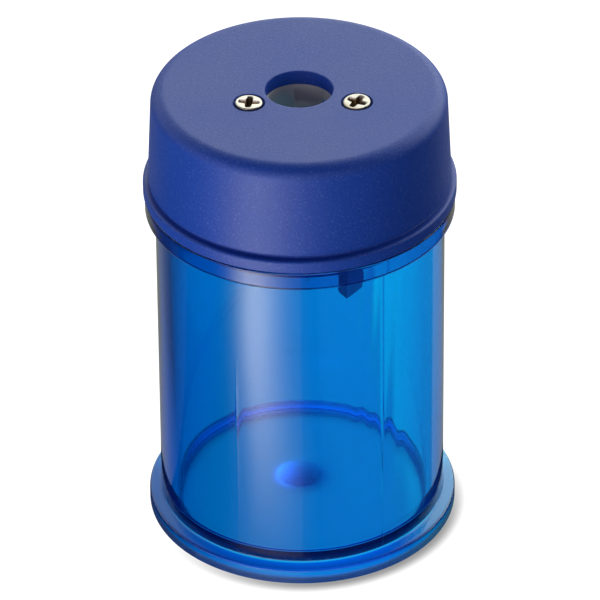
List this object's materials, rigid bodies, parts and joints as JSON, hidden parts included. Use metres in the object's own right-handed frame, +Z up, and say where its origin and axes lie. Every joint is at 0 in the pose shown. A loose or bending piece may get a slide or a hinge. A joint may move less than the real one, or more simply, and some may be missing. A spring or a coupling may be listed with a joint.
{
  "type": "canister pencil sharpener",
  "caption": "Hand pencil sharpener: a translucent canister with a flanged foot and a push-fit lid that carries a metal sharpener with its blade.",
  "frame": {"origin": "centre of the face the canister stands on", "axes": "+Z up along the pencil bore and the canister's axis; the two lid screws sit on the -Y side of the bore, side by side along X"},
  "size_m": [0.0402, 0.0402, 0.0633],
  "materials": {
    "canister_plastic": "clear tinted blue moulded plastic, glossy",
    "lid_plastic": "opaque blue, finely textured matte",
    "cast_metal": "grey cast light metal, satin",
    "blade_steel": "ground steel",
    "blade_screw_steel": "plain plated steel",
    "lid_screw_steel": "bright plated steel, cross recess"
  },
  "bodies": {
    "canister": {"canister": "canister_plastic"},
    "lid": {"lid": "lid_plastic", "sharpener_body": "cast_metal", "blade": "blade_steel", "blade_screw": "blade_screw_steel", "left_lid_screw": "lid_screw_steel", "right_lid_screw": "lid_screw_steel"}
  },
  "joints": [
    {"name": "lid_lift", "type": "slide", "parent": "canister", "child": "lid", "axis": [0, 0, 1], "range_m": [0, 0.03]}
  ]
}
